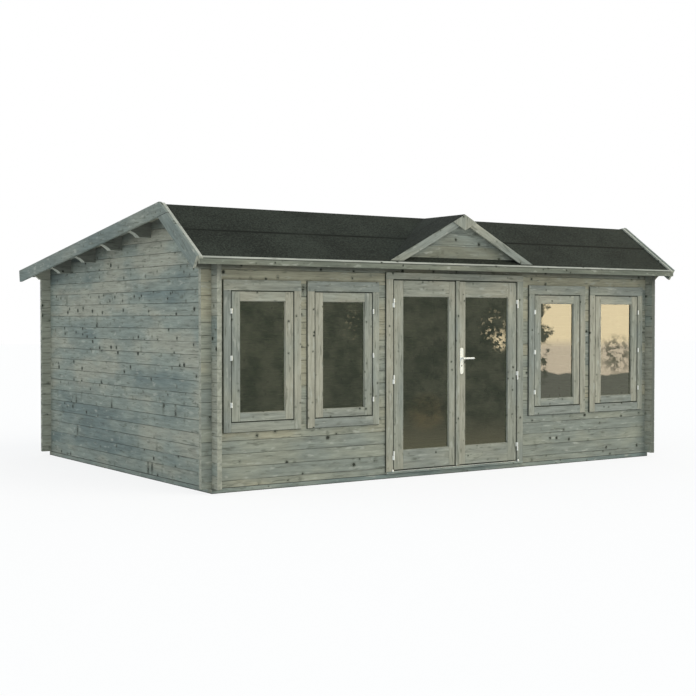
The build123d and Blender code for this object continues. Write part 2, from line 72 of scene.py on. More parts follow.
# Number of each wall's first course, so that no two walls share their seeds
COURSE_NUMBERS = {"left_wall_logs": 0.0, "right_wall_logs": 100.0, "front_top_logs": 200.0,
                  "front_left_logs": 300.0, "front_right_logs": 400.0, "back_logs": 500.0,
                  "gable_boards": 600.0}
# Stretches across the grain, in metres, that share one seed
TRIM_STEP, SILL_STEP, JOIST_STEP, PURLIN_STEP, GABLE_STEP = 0.5, 1.0, 0.2, 0.3, 2.0
# Painted shade: the light that is left close under the front eave, close under the verges and on the faces of
# the purlins
EAVE_LIGHT, VERGE_LIGHT, PURLIN_LIGHT = 0.4, 0.5, 0.5

# Noises in wood: share of the length along the grain, cells per metre, then detail and roughness
STREAKS, BANDS, PATCHES = (0.09, 50.0, 4.0, 0.7), (0.07, 24.0), (0.4, 2.4, 3.0)
STREAK_SHARE, BAND_SHARE, PATCH_SHARE = 1.15, 0.5, 1.5
# Marks on wood: such a noise, and where it starts and ends to show, from least to most
SCUFFS = ((0.3, 26.0, 3.0), (0.58, 0.74, 0.0, 0.55))
DASHES = ((0.16, 46.0, 3.0), (0.58, 0.72, 0.0, 0.6))
# Tones at which cool wood has turned plain and plain wood warm, and how far the logs and the boards differ
COOL_TO_PLAIN, PLAIN_TO_WARM = (0.28, 0.5), (0.5, 0.72)
LOG_SPREAD, BOARD_SPREAD = 0.2, 0.24
# Shift of the pattern in metres at a seed of one
SEED_SHIFT = (31.0, 17.0, 23.0)
# Layers of knots in logs and in planed boards: cells per metre, stretch of the cells, largest knot in a cell
LOG_KNOTS = ((11.0, (1.0, 1.0, 1.0), 0.2), (6.5, (1.0, 1.0, 0.35), 0.1))
BOARD_KNOTS = ((16.0, (1.0, 1.0, 1.0), 0.16),)
# Knots: the power that keeps most of them small, the unevenness of the rim, the radius from which they show,
# and the reach of the stain and of the heart about the rim
KNOT_POWER, KNOT_RAG, KNOT_SHOWS = 1.8, 0.24, (0.03, 0.07)
KNOT_STAIN, KNOT_HEART = (0.2, 0.0, 0.0, 0.5), (0.03, -0.04, 0.0, 0.95)

# Noises in the felt: cells per metre, detail and roughness of the grains, the speckle and the mottle
FELT_NOISES = ((420.0, 2.0, 0.7), (60.0, 3.0, 0.7), (2.4, 3.0))
FELT_SHARES = (0.3, 0.9, 0.3)
# Smeared glass, and the index that gives the panes their mirror
SMEAR, PANE_INDEX = (0.6, 0.62, 0.55, 1.0), 2.2
# Outlines of a strip cap and of a keyhole, as shares of radius and height
CAP_OUTLINE = ((0.0, 0.0), (1.0, 0.0), (1.0, 0.6), (0.8, 0.85), (0.4, 0.97), (0.0, 1.0))
KEYHOLE_OUTLINE = ((0.0, -1.0), (1.0, -1.0), (1.0, 1.0), (0.0, 1.0))

# Mirror card: distance from the eye, bearings in degrees, heights of its edges, steps round
CARD_REACH, CARD_BEARINGS, CARD_HEIGHTS, CARD_STEPS = 30.0, (8.0, 70.0), (-6.0, 12.0), 31
# Levels on the card, as shares of its distance: haze to sky, the hills' rise and foot, trees to ground
HAZE_LEVELS, HILLS, FOOT_LEVELS = (-0.024, -0.014), (0.02, -0.051), (-0.07, -0.1)
# Bearings at which the trees end, and how far their leaves reach
TREE_EDGE, TREE_SWAY = (42.9, 42.3), 7.0
# Spots on the card: bearing and level of the middle, and the reach of both
SHRUB, LOW_SUN = ((46.1, -0.028), (0.9, 0.019)), ((37.7, -0.074), (1.1, 0.018))
# Sky between the mirrored leaves: such a spot, the least noise and the most light
LEAF_GAPS = ((((40.98, -0.0175), (0.4, 0.0105)), 0.42, 0.8),
             (((40.7, -0.008), (0.75, 0.018)), 0.56, 0.45),
             (((34.3, -0.004), (0.5, 0.02)), 0.55, 0.14))


# Values that a user may change
def length(name, description, default):
    """A length in metres."""
    return FloatProperty(name=name, description=description, default=default, unit="LENGTH",
                         subtype="DISTANCE")


def amount(name, description, default):
    """A plain number."""
    return FloatProperty(name=name, description=description, default=default)


def angle(name, description, degrees):
    """An angle, given in degrees."""
    return FloatProperty(name=name, description=description, default=math.radians(degrees), unit="ROTATION",
                         subtype="ANGLE")


def colour(name, description, red, green, blue):
    """A colour given as the 0 to 255 values that a screen shows."""
    screen = np.array((red, green, blue)) / 255.0
    linear = np.where(screen <= 0.04045, screen / 12.92, ((screen + 0.055) / 1.055) ** 2.4)
    return FloatVectorProperty(name=name, description=description, default=tuple(linear), size=3, min=0.0,
                               max=1.0, subtype="COLOR")


class HouseSizes(bpy.types.PropertyGroup):
    """Sizes of what the finishing adds to the frame."""
    log_height: length("Log height", "Height of one log course", 0.114)
    joint_width: length("Joint width", "Half width of the line at a log joint", 0.004)
    edge_round: length("Edge round", "Rounding along the edges of planed boards", 0.003)
    pane_seat: length("Pane seat", "Depth of the groove that holds a pane", 0.009)
    bead_width: length("Bead width", "Width of a glazing bead on the glass", 0.004)
    bead_height: length("Bead height", "Height of a glazing bead off the glass", 0.012)
    # The seals are dark strips that also paint the shade in the gaps and beside the casings
    seal_width: length("Seal width", "How far the dark seal reaches over a sash or leaf edge", 0.0065)
    seal_reach: length("Seal reach", "How far a seal stands out beside a leaf or a casing", 0.004)
    casing_set: length("Casing seal set", "Depth of the seal round a casing behind its face", 0.010)
    seal_set: length("Seal set", "Depth of the seal behind the face of a sash or leaf", 0.002)
    seal_depth: length("Seal depth", "Size of the seal along the depth of the wall", 0.014)
    seam_width: length("Seam width", "Half width of a dark seam between two trim boards", 0.007)
    eave_shade: length("Eave shade", "Height of the shade on the wall under the front eave", 0.05)
    verge_shade: length("Verge shade", "Height of the shade on the side walls under the roof", 0.22)
    lap_width: length("Lap width", "Half width of the shade along the lap of the felt", 0.02)
    felt_width: length("Felt width", "Width of felt that shows between two laps of the back half", 0.92)
    floor_board: length("Floor board", "Width of a floor board", 0.092)
    roof_board: length("Roof board", "Width of a roof board seen from below", 0.096)
    cap_radius: length("Strip cap radius", "Radius of the caps at the ends of the threshold strip", 0.009)
    cap_height: length("Strip cap height", "Height of those caps", 0.022)
    keyhole_drop: length("Keyhole drop", "Distance of the keyhole below the lever", 0.072)
    keyhole_radius: length("Keyhole radius", "Radius of the keyhole", 0.006)
    front_slope: angle("Front slope", "Slope of the front half of the roof", 35.0)
    back_slope: angle("Back slope", "Slope of the back half of the roof", 8.0)
    gable_slope: angle("Gable slope", "Slope of the small gable over the door", 27.5)


class HouseColours(bpy.types.PropertyGroup):
    """Colours of the finishes."""
    side_cool: colour("Side log, cool", "Bluish grey patches of the side walls", 113, 125, 121)
    side_plain: colour("Side log, plain", "Usual grey green of the side walls", 136, 144, 135)
    side_warm: colour("Side log, warm", "Beige patches of the side walls", 155, 156, 142)
    log_cool: colour("Log, cool", "Bluish grey patches of the front logs", 129, 135, 126)
    log_plain: colour("Log, plain", "Usual grey green of the front logs", 141, 144, 130)
    log_warm: colour("Log, warm", "Beige patches of the front logs", 155, 152, 131)
    joinery_cool: colour("Joinery, cool", "Greyest tone of windows and doors", 131, 136, 128)
    joinery_plain: colour("Joinery, plain", "Usual tone of windows and doors", 144, 146, 133)
    joinery_warm: colour("Joinery, warm", "Warmest tone of windows and doors", 157, 155, 139)
    trim_cool: colour("Trim, cool", "Greyest tone of bargeboards", 113, 123, 118)
    trim_plain: colour("Trim, plain", "Usual tone of bargeboards", 123, 131, 124)
    trim_warm: colour("Trim, warm", "Warmest tone of bargeboards", 132, 137, 127)
    fascia_cool: colour("Fascia, cool", "Greyest tone of the fascia", 104, 110, 99)
    fascia_plain: colour("Fascia, plain", "Usual tone of the fascia", 113, 117, 104)
    fascia_warm: colour("Fascia, warm", "Warmest tone of the fascia", 121, 122, 107)
    strip_cool: colour("Roof strip, cool", "Greyest tone of the strips that hold the felt", 152, 156, 145)
    strip_plain: colour("Roof strip, plain", "Usual tone of those strips", 170, 172, 161)
    strip_warm: colour("Roof strip, warm", "Palest tone of those strips", 188, 188, 177)
    knot: colour("Knot", "Heart of a knot", 38, 42, 36)
    knot_ring: colour("Knot ring", "Stain round a knot", 84, 88, 76)
    # Besides pale worn spots, this colour paints light into the pale stretches of the log joints
    scuff_and_joint_light: colour("Scuff", "Pale worn spots", 176, 178, 166)
    joint: colour("Joint", "Shade in the joints between logs", 62, 66, 58)
    end_pale: colour("End grain, pale", "Pale rings of a cut end", 163, 164, 149)
    end_dark: colour("End grain, dark", "Dark rings of a cut end", 136, 138, 125)
    # A darker grey that the right wall's cut ends take for both end tones, and the back wall's ends for their
    # dark rings
    end_grey: colour("End grain, grey", "Weathered cut ends of the right wall", 96, 101, 93)
    felt_dark: colour("Felt, dark", "Dark grains of the roof felt", 20, 25, 21)
    felt_pale: colour("Felt, pale", "Pale grains of the roof felt", 51, 57, 50)
    # Dark seals and seams, which also paint shade: in the gaps round sashes and leaves, beside the casings and
    # at the foot of the sills
    seal: colour("Seal", "Dark seals and seams", 48, 52, 45)
    metal: colour("Metal", "Bright hinges and handle", 236, 238, 234)
    glass: colour("Glass", "Tint of the panes", 222, 228, 212)


class StageSettings(bpy.types.PropertyGroup):
    """Camera, light and background."""
    camera_place: FloatVectorProperty(name="Camera place", description="Where the camera stands",
                                      default=(-7.789, -11.4978, 1.5049), subtype="TRANSLATION",
                                      unit="LENGTH")
    camera_turn: angle("Camera turn", "Turn of the view to the right of the house's own depth", 34.15)
    camera_dip: angle("Camera dip", "Dip of the view below the horizon", 1.346)
    lens: amount("Lens", "Focal length in millimetres on a 36 mm frame", 65.57)
    sky_strength: amount("Sky strength", "Strength of the even light from all round", 0.83)
    sky: colour("Sky", "Colour of the even light", 240, 249, 255)
    key_strength: amount("Key strength", "Strength of the soft main light", 1.05)
    key: colour("Key", "Colour of the main light", 255, 246, 230)
    key_turn: angle("Key turn", "Main light's place to the right of the front", 30.0)
    key_height: angle("Key height", "Main light's height over the horizon", 42.0)
    key_spread: angle("Key spread", "Softness of the main light", 50.0)
    floor: colour("Floor", "Colour of the floor", 250, 250, 250)
    floor_share: amount("Floor share", "Share of the floor's brightness that takes shadow", 0.18)
    card_strength: amount("Card strength", "How much brighter the card is than its mirror image", 6.4)
    card_sky: colour("Card sky", "Upper sky, as mirrored", 222, 205, 166)
    card_haze: colour("Card haze", "Sky near the hills, as mirrored", 188, 175, 152)
    card_hills: colour("Card hills", "Hills, as mirrored", 93, 94, 84)
    card_trees: colour("Card trees", "Dark trees, as mirrored", 56, 60, 51)
    card_leaves: colour("Card leaves", "Paler leaves, as mirrored", 75, 77, 65)
    card_foot: colour("Card foot", "Pale ground below the trees, as mirrored", 86, 85, 70)
    card_glow: colour("Card glow", "Warm spot of low sun, as mirrored", 98, 88, 64)


def settings():
    """The three groups of values that the operators read."""
    scene = bpy.context.scene
    return scene.garden_house_sizes, scene.garden_house_colours, scene.garden_house_stage


def tones_of(family):
    """The cool, plain and warm colour of one family of boards."""
    colours = settings()[1]
    return tuple(getattr(colours, f"{family}_{tone}") for tone in ("cool", "plain", "warm"))


def rgba(value):
    """A colour property as the four numbers that a socket takes."""
    return (*value, 1.0)


# Node trees
class Graph:
    """A material's node tree, put together by short calls."""

    def __init__(self, name, tree=None):
        if tree is None:
            self.material = bpy.data.materials.new(name)
            self.material.use_nodes = True
            tree = self.material.node_tree
        self.tree = tree
        self.tree.nodes.clear()

    def put(self, socket, value):
        """Links a socket to a socket, or sets its value."""
        if isinstance(value, bpy.types.NodeSocket):
            self.tree.links.new(value, socket)
        else:
            socket.default_value = value

    def node(self, kind, values=None, **choices):
        """A node with its choices and its input values."""
        made = self.tree.nodes.new("ShaderNode" + kind)
        for key, value in choices.items():
            setattr(made, key, value)
        for key, value in (values or {}).items():
            self.put(made.inputs[key], value)
        return made

    def math(self, operation, *values):
        return self.node("Math", dict(enumerate(values)), operation=operation).outputs[0]

    def vector(self, operation, *values):
        return self.node("VectorMath", dict(enumerate(values)), operation=operation).outputs["Vector"]

    def dot(self, first, second):
        return self.node("VectorMath", {0: first, 1: second}, operation="DOT_PRODUCT").outputs["Value"]

    def scaled(self, vector, factor):
        return self.node("VectorMath", {0: vector, "Scale": factor}, operation="SCALE").outputs["Vector"]

    def part(self, vector, axis):
        return self.node("SeparateXYZ", {0: vector}).outputs[axis]

    def off(self, value, middle):
        """How far a value lies from a middle, to either side."""
        return self.math("ABSOLUTE", self.math("SUBTRACT", value, middle))

    def rise(self, value, start, end, low=0.0, high=1.0):
        """Smooth step of a value from start to end."""
        values = {0: value, 1: start, 2: end, 3: low, 4: high}
        return self.node("MapRange", values, interpolation_type="SMOOTHSTEP").outputs[0]

    def mix(self, share, first, second):
        return self.node("Mix", {0: share, 6: first, 7: second}, data_type="RGBA").outputs[2]

    def noise(self, place, scale, detail=2.0, roughness=0.5):
        values = {"Vector": place, "Scale": scale, "Detail": detail, "Roughness": roughness}
        return self.node("TexNoise", values).outputs[0]

    def dice(self, number):
        """A seed from 0 to 1 for each number."""
        return self.node("TexWhiteNoise", {"W": number}, noise_dimensions="1D").outputs["Value"]

    def object_place(self):
        return self.node("TexCoord").outputs["Object"]

    def facing(self, direction):
        """How straight a face looks along a direction, either way."""
        return self.math("ABSOLUTE", self.dot(self.node("TexCoord").outputs["Normal"], direction))

    def bump(self, height, strength, distance):
        values = {"Strength": strength, "Distance": distance, "Height": height}
        return self.node("Bump", values).outputs[0]

    def solid(self, values):
        """Puts a solid's shader with these values on the surface."""
        return self.surface(self.node("BsdfPrincipled", values).outputs[0])

    def surface(self, shader):
        """Puts a shader's output on the surface."""
        self.node("OutputMaterial", {"Surface": shader})
        return self.material


def wood(graph, place, direction, seed, tones, spread, knot_layers, warmth=0.0, cut_tones=None):
    """Weathered softwood: colour and height at a place, with the grain along a direction.

    The place is squeezed along the grain before each noise, so that streaks run with the board. A seed moves
    each board to another part of the pattern and its tone by up to half the spread, while the large patches
    run on over neighbours. Knots are the hearts of scattered cells, one layer of cells after the other. The
    cut tones are those of the ends, where the grain comes out.
    """
    colours = settings()[1]
    cool, plain, warm = (rgba(tone) for tone in tones)
    along = graph.dot(place, direction)
    shifted = graph.vector("ADD", place, graph.scaled(SEED_SHIFT, seed))

    def grain_noise(share, *noise, start=shifted):
        back = graph.scaled(direction, graph.math("MULTIPLY", along, share - 1.0))
        return graph.noise(graph.vector("ADD", start, back), *noise)

    streaks = grain_noise(*STREAKS)
    bands = grain_noise(*BANDS)
    patches = grain_noise(*PATCHES, start=place)
    patches = graph.math("MULTIPLY_ADD", patches, PATCH_SHARE, (1.0 - PATCH_SHARE) / 2)
    tone = graph.math("MULTIPLY_ADD", seed, spread, -spread / 2)
    tone = graph.math("ADD", tone, graph.math("ADD", patches, warmth))
    shade = graph.mix(graph.rise(tone, *COOL_TO_PLAIN), cool, plain)
    shade = graph.mix(graph.rise(tone, *PLAIN_TO_WARM), shade, warm)
    shine = graph.math("MULTIPLY_ADD", streaks, STREAK_SHARE, 1.0 - (STREAK_SHARE + BAND_SHARE) / 2)
    shine = graph.math("MULTIPLY_ADD", bands, BAND_SHARE, shine)
    shade = graph.scaled(shade, shine)
    for (noise, showing), mark in ((SCUFFS, colours.scuff_and_joint_light), (DASHES, colours.knot_ring)):
        shade = graph.mix(graph.rise(grain_noise(*noise), *showing), shade, rgba(mark))

    height = graph.math("MULTIPLY_ADD", bands, 0.6, streaks)
    ragged = graph.math("MULTIPLY_ADD", graph.noise(shifted, 80.0), KNOT_RAG, -KNOT_RAG / 2)
    for cells, stretch, largest in knot_layers:
        stretched = graph.vector("MULTIPLY", shifted, stretch)
        knots = graph.node("TexVoronoi", {"Vector": stretched, "Scale": cells})
        size = graph.node("SeparateColor", {0: knots.outputs["Color"]}).outputs[0]
        radius = graph.math("MULTIPLY", graph.math("POWER", size, KNOT_POWER), largest)
        rim = graph.math("ADD", graph.math("SUBTRACT", knots.outputs["Distance"], radius), ragged)
        shows = graph.rise(radius, *KNOT_SHOWS)
        stain = graph.math("MULTIPLY", graph.rise(rim, *KNOT_STAIN), shows)
        heart = graph.math("MULTIPLY", graph.rise(rim, *KNOT_HEART), shows)
        shade = graph.mix(stain, shade, rgba(colours.knot_ring))
        shade = graph.mix(heart, shade, rgba(colours.knot))
        height = graph.math("MULTIPLY_ADD", heart, -0.5, height)

    dark, pale = cut_tones or (colours.end_dark, colours.end_pale)
    ends = graph.mix(graph.rise(graph.noise(shifted, 26.0), 0.3, 0.7), rgba(dark), rgba(pale))
    return graph.mix(graph.rise(graph.facing(direction), 0.75, 0.9), shade, ends), height


def wood_shader(graph, shade, height):
    """Dull planed timber from its colour and height."""
    return graph.solid({"Base Color": shade, "Normal": graph.bump(height, 0.35, 0.0012), "Roughness": 0.78,
                        "Specular IOR Level": 0.22})


def log_finish(name, direction, first_joint, tones, warmth=0.0, ends_from=None, ends_warmth=ENDS_WARMTH,
               cut_tones=None, shade_from=None, ridge=None):
    """Stacked logs: each course has its own seed from its height, and a line lies at each joint.

    The line is dark in some stretches and pale in others, where the pale is painted light over the groove's
    own shade. The lowest courses are a little cooler, and the ends that cross the next wall, beyond ends_from
    along the log, are warmer. Over the height shade_from the logs carry painted shade, and so they do close
    under the two slopes that meet at the corner ridge.
    """
    sizes, colours, _ = settings()
    graph = Graph(name)
    place = graph.object_place()
    height = graph.part(place, "Z")
    course = graph.math("DIVIDE", graph.math("SUBTRACT", height, first_joint), sizes.log_height)
    seed = graph.dice(graph.math("ADD", graph.math("FLOOR", course), COURSE_NUMBERS[name]))
    tone = graph.rise(height, *FOOT_HEIGHTS, warmth - FOOT_COOLING, warmth)
    if ends_from is not None:
        off_middle = graph.math("ABSOLUTE", graph.dot(place, tuple(direction)))
        crossing = graph.rise(off_middle, ends_from - sizes.joint_width, ends_from + sizes.joint_width, 0.0,
                              ends_warmth)
        tone = graph.math("ADD", tone, crossing)
    shade, relief = wood(graph, place, tuple(direction), seed, tones, LOG_SPREAD, LOG_KNOTS, tone, cut_tones)
    off_joint = graph.off(course, graph.math("ROUND", course))
    line = graph.rise(graph.math("MULTIPLY", off_joint, sizes.log_height), sizes.joint_width, 0.0, 0.0, 0.6)
    # Joint line: dark in some stretches; in others pale, which is painted light over the groove's own shade
    turns = graph.rise(graph.noise(place, 2.6), 0.34, 0.5)
    shade = graph.mix(line, shade, graph.mix(turns, rgba(colours.scuff_and_joint_light), rgba(colours.joint)))
    # Painted shade on the logs close under the front eave
    if shade_from is not None:
        light = graph.rise(height, shade_from, shade_from + sizes.eave_shade, 1.0, EAVE_LIGHT)
        shade = graph.scaled(shade, light)
    # Painted shade on the side walls close under the two roof slopes
    if ridge is not None:
        behind = graph.math("SUBTRACT", graph.part(place, "Y"), float(ridge[1]))
        below = graph.math("SUBTRACT", float(ridge[2]), height)
        under_back = graph.math("MULTIPLY_ADD", behind, -math.tan(sizes.back_slope), below)
        under_front = graph.math("MULTIPLY_ADD", behind, math.tan(sizes.front_slope), below)
        under = graph.math("MINIMUM", under_back, under_front)
        shade = graph.scaled(shade, graph.rise(under, 0.0, sizes.verge_shade, VERGE_LIGHT, 1.0))
    return wood_shader(graph, shade, relief)


def board_finish(name, tones, direction=None, step=TRIM_STEP, seams=(), painted_shade_way=None):
    """Planed boards: the grain and the seed come from the piece's own attributes, or from a set direction.

    With a direction, one seed serves each step across the boards. A seam is (normal, place along it): a dark
    line there, where boards meet, and at the foot of the sills painted contact shade. Faces that look along
    the given way are darkened with painted shade.
    """
    sizes, colours, _ = settings()
    graph = Graph(name)
    place = graph.object_place()
    if direction is None:
        grain = graph.node("Attribute", attribute_name="grain").outputs["Vector"]
        seed = graph.node("Attribute", attribute_name="board").outputs["Fac"]
    else:
        grain = tuple(direction)
        upright = abs(direction[2]) > 0.9
        across = X_AXIS if upright else np.abs(np.cross(direction, Z_AXIS))
        number = graph.math("DIVIDE", graph.dot(place, tuple(across)), step)
        seed = graph.dice(graph.math("FLOOR", number))
    shade, relief = wood(graph, place, grain, seed, tones, BOARD_SPREAD, BOARD_KNOTS)
    for normal, offset in seams:
        off_seam = graph.off(graph.dot(place, tuple(normal)), offset)
        line = graph.rise(off_seam, sizes.seam_width, sizes.seam_width * 0.7, 0.0, 0.9)
        shade = graph.mix(line, shade, rgba(colours.seal))
    # Painted shade on the faces that look along the given way
    if painted_shade_way is not None:
        facing = graph.facing(tuple(painted_shade_way))
        shade = graph.scaled(shade, graph.rise(facing, 0.6, 0.9, 1.0, PURLIN_LIGHT))
    return wood_shader(graph, shade, relief)


def shared(name, make):
    """A material by its name, made at the first call."""
    return bpy.data.materials.get(name) or make(name)


def felt_finish(name):
    """Mineral roofing felt: dark grains of two sizes over a faint large mottle, with a shade at each lap.

    The lap of the front half is that of the frame. Those of the back half follow one felt width after the
    other.
    """
    sizes, colours, _ = settings()
    graph = Graph(name)
    place = graph.object_place()
    noises = [graph.noise(place, *noise) for noise in FELT_NOISES]
    share = (1.0 - sum(FELT_SHARES)) / 2
    for noise, part in zip(noises, FELT_SHARES):
        share = graph.math("MULTIPLY_ADD", noise, part, share)
    shade = graph.mix(graph.rise(share, 0.33, 0.67), rgba(colours.felt_dark), rgba(colours.felt_pale))
    _, lap, _, ridge = levels("roof_felt_front", 1)
    depth = graph.part(place, "Y")
    front_lap = graph.off(depth, float(lap))
    row = graph.math("DIVIDE", graph.math("SUBTRACT", depth, float(ridge)), sizes.felt_width)
    back_lap = graph.math("MULTIPLY", graph.off(row, graph.math("ROUND", row)), sizes.felt_width)
    back_lap = graph.math("ADD", back_lap, graph.math("LESS_THAN", row, 0.5))
    line = graph.rise(graph.math("MINIMUM", front_lap, back_lap), sizes.lap_width, 0.0)
    line = graph.math("MULTIPLY", line, graph.rise(graph.noise(place, 1.3), 0.4, 0.55, 0.6, 1.0))
    shade = graph.mix(line, shade, rgba(colours.felt_dark))
    return graph.solid({"Base Color": shade, "Normal": graph.bump(noises[0], 0.5, 0.0015), "Roughness": 0.92,
                        "Specular IOR Level": 0.18})


def metal_finish(name):
    """Pale brushed metal with faint wear."""
    colours = settings()[1]
    graph = Graph(name)
    place = graph.object_place()
    brush = graph.noise(graph.vector("MULTIPLY", place, (900.0, 900.0, 40.0)), 1.0)
    wear = graph.noise(place, 60.0)
    shade = graph.scaled(tuple(colours.metal), graph.math("MULTIPLY_ADD", wear, 0.16, 0.9))
    return graph.solid({"Base Color": shade, "Normal": graph.bump(brush, 0.08, 0.0005), "Metallic": 0.3,
                        "Roughness": graph.rise(wear, 0.3, 0.7, 0.34, 0.48)})


def seal_and_shade_finish(name):
    """Dull dark rubber with faint dust, for the seals, which also paint shade in gaps and beside casings, and
    for keyholes.
    """
    colours = settings()[1]
    graph = Graph(name)
    dust = graph.noise(graph.object_place(), 45.0)
    shade = graph.scaled(tuple(colours.seal), graph.rise(dust, 0.3, 0.7, 0.8, 1.3))
    return graph.solid({"Base Color": shade, "Roughness": 0.85, "Specular IOR Level": 0.2})


def glass_finish(name):
    """Flat pane: light passes straight through with a tint, and the outer face mirrors by its angle."""
    colours = settings()[1]
    graph = Graph(name)
    smear = graph.noise(graph.object_place(), 5.0, 3.0)
    tint = graph.mix(graph.rise(smear, 0.3, 0.7, 0.0, 0.25), rgba(colours.glass), SMEAR)
    through = graph.node("BsdfTransparent", {"Color": tint})
    mirror = graph.node("BsdfAnisotropic", {"Color": WHITE, "Roughness": 0.0})
    share = graph.node("Fresnel", {"IOR": PANE_INDEX}).outputs[0]
    outer = graph.math("SUBTRACT", 1.0, graph.node("NewGeometry").outputs["Backfacing"])
    share = graph.math("MULTIPLY", share, outer)
    both = graph.node("MixShader", {0: share, 1: through.outputs[0], 2: mirror.outputs[0]})
    return graph.surface(both.outputs[0])


# Meshes
def vertices(node):
    """The corners of a node of the frame, one row each."""
    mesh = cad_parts[node].data
    points = np.empty(len(mesh.vertices) * 3, np.float32)
    mesh.vertices.foreach_get("co", points)
    return points.reshape(-1, 3).astype(float)


def levels(node, axis):
    """The sorted places along an axis where a node of the frame has corners, to a tenth of a millimetre."""
    return np.unique(np.round(vertices(node)[:, axis], 4))


def corners(node):
    """Lowest and highest corner of a node of the frame, as arrays."""
    return tuple(np.array(corner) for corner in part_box(node))


def outward(points, faces):
    """Turns all faces round if the volume that they enclose comes out negative."""
    a, b, c, d = (points[faces[:, k]] for k in range(4))
    volume = np.sum(a * np.cross(b, c)) + np.sum(a * np.cross(c, d))
    return faces if volume > 0 else faces[:, ::-1]


def draw(name):
    """Random numbers that a piece's name settles."""
    return np.random.default_rng(sum(map(ord, name)))


def piece(name, points, faces, material, body, replaced=(), grain=None, seeds=None):
    """A mesh object from arrays, with its finish, the body it rides on and the nodes it stands for."""
    mesh = bpy.data.meshes.new(name)
    mesh.from_pydata(points, [], faces)
    if mesh.validate():
        raise RuntimeError(f"{name} has faulty faces")
    if grain is not None:
        mesh.attributes.new("grain", "FLOAT_VECTOR", "FACE").data.foreach_set("vector", grain.ravel())
        mesh.attributes.new("board", "FLOAT", "FACE").data.foreach_set("value", seeds.ravel())
    mesh.materials.append(material)
    made = bpy.data.objects.new(name, mesh)
    bpy.context.scene.collection.objects.link(made)
    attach(made, body)
    if replaced:
        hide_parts(*replaced)
    return made


def boards(name, rows, material, body, replaced=(), seeds=None):
    """Planed boards: a rectangle carried straight along each board's grain axis, with rounded edges.

    A row is (lowest corner, highest corner, grain axis). Corner k of end e is the lowest corner plus the size
    times a unit corner, whose first number is e along the grain and whose others go round the rectangle. Each
    board draws its own seed, unless seeds gives them.
    """
    low, high = (np.array([row[k] for row in rows], float) for k in (0, 1))
    axis = np.array([row[2] for row in rows])
    count = len(rows)
    unit = np.empty((2, 4, 3))
    unit[..., 0] = [[0.0], [1.0]]
    unit[..., 1:] = [[0.0, 0.0], [1.0, 0.0], [1.0, 1.0], [0.0, 1.0]]
    order = (axis[:, None] + np.arange(3)) % 3
    placed = np.empty((count, 2, 4, 3))
    np.put_along_axis(placed, np.broadcast_to(order[:, None, None, :], placed.shape),
                      np.broadcast_to(unit, placed.shape), axis=3)
    points = low[:, None, None, :] + placed * (high - low)[:, None, None, :]
    ring = np.arange(4)
    after = np.roll(ring, -1)
    sides = np.stack([ring, after, after + 4, ring + 4], axis=1)
    shell = np.vstack([sides, [[3, 2, 1, 0], [4, 5, 6, 7]]])
    faces = (shell + 8 * np.arange(count)[:, None, None]).reshape(-1, 4)
    grain = np.repeat(np.eye(3)[axis], len(shell), axis=0)
    given = draw(name).random(count) if seeds is None else np.array(seeds)
    made = piece(name, points.reshape(-1, 3), faces, material, body, replaced, grain,
                 np.repeat(given, len(shell)))
    rounding = made.modifiers.new("rounded edges", "BEVEL")
    rounding.width = settings()[0].edge_round
    rounding.segments = 2
    return made


def beads(name, rows, material, body):
    """Glazing beads: a quarter round carried round each pane with mitred corners.

    A row is (x0, x1, z0, z1, y on the glass, way out). Profile point (s, t) lies s inwards from the edge and
    t off the glass, so corner c of the frame is the pane's corner moved s towards its middle on both axes.
    """
    sizes = settings()[0]
    turn = np.linspace(0.0, np.pi / 2, 6)
    curve = np.stack([sizes.bead_width * np.cos(turn), sizes.bead_height * np.sin(turn)], axis=1)
    profile = np.vstack([[[0.0, 0.0]], curve])
    row = np.array(rows, float)
    share = np.array([[0.0, 0.0], [1.0, 0.0], [1.0, 1.0], [0.0, 1.0]])
    inwards = 1.0 - 2.0 * share
    low, high = row[:, [0, 2]], row[:, [1, 3]]
    flat = low[:, None, :] + share * (high - low)[:, None, :]
    flat = flat[:, :, None, :] + inwards[None, :, None, :] * profile[None, None, :, :1]
    depth = row[:, 4, None, None] + row[:, 5, None, None] * profile[None, None, :, 1]
    depth = np.broadcast_to(depth, flat.shape[:3])
    points = np.stack([flat[..., 0], depth, flat[..., 1]], axis=-1)
    count, steps = len(rows), len(profile)
    side, step = (grid.ravel() for grid in np.meshgrid(np.arange(4), np.arange(steps), indexing="ij"))
    next_side, next_step = (side + 1) % 4, (step + 1) % steps
    shell = np.stack([side * steps + step, next_side * steps + step,
                      next_side * steps + next_step, side * steps + next_step], axis=1)
    faces = shell[None] + 4 * steps * np.arange(count)[:, None, None]
    cloud = points.reshape(-1, 3)
    faces = np.vstack([outward(cloud, group) for group in faces])
    grain = np.tile(np.where((side % 2 == 0)[:, None], X_AXIS, Z_AXIS), (count, 1))
    seeds = np.repeat(draw(name).random((count, 4)), steps, axis=1)
    return piece(name, cloud, faces, material, body, (), grain, seeds)


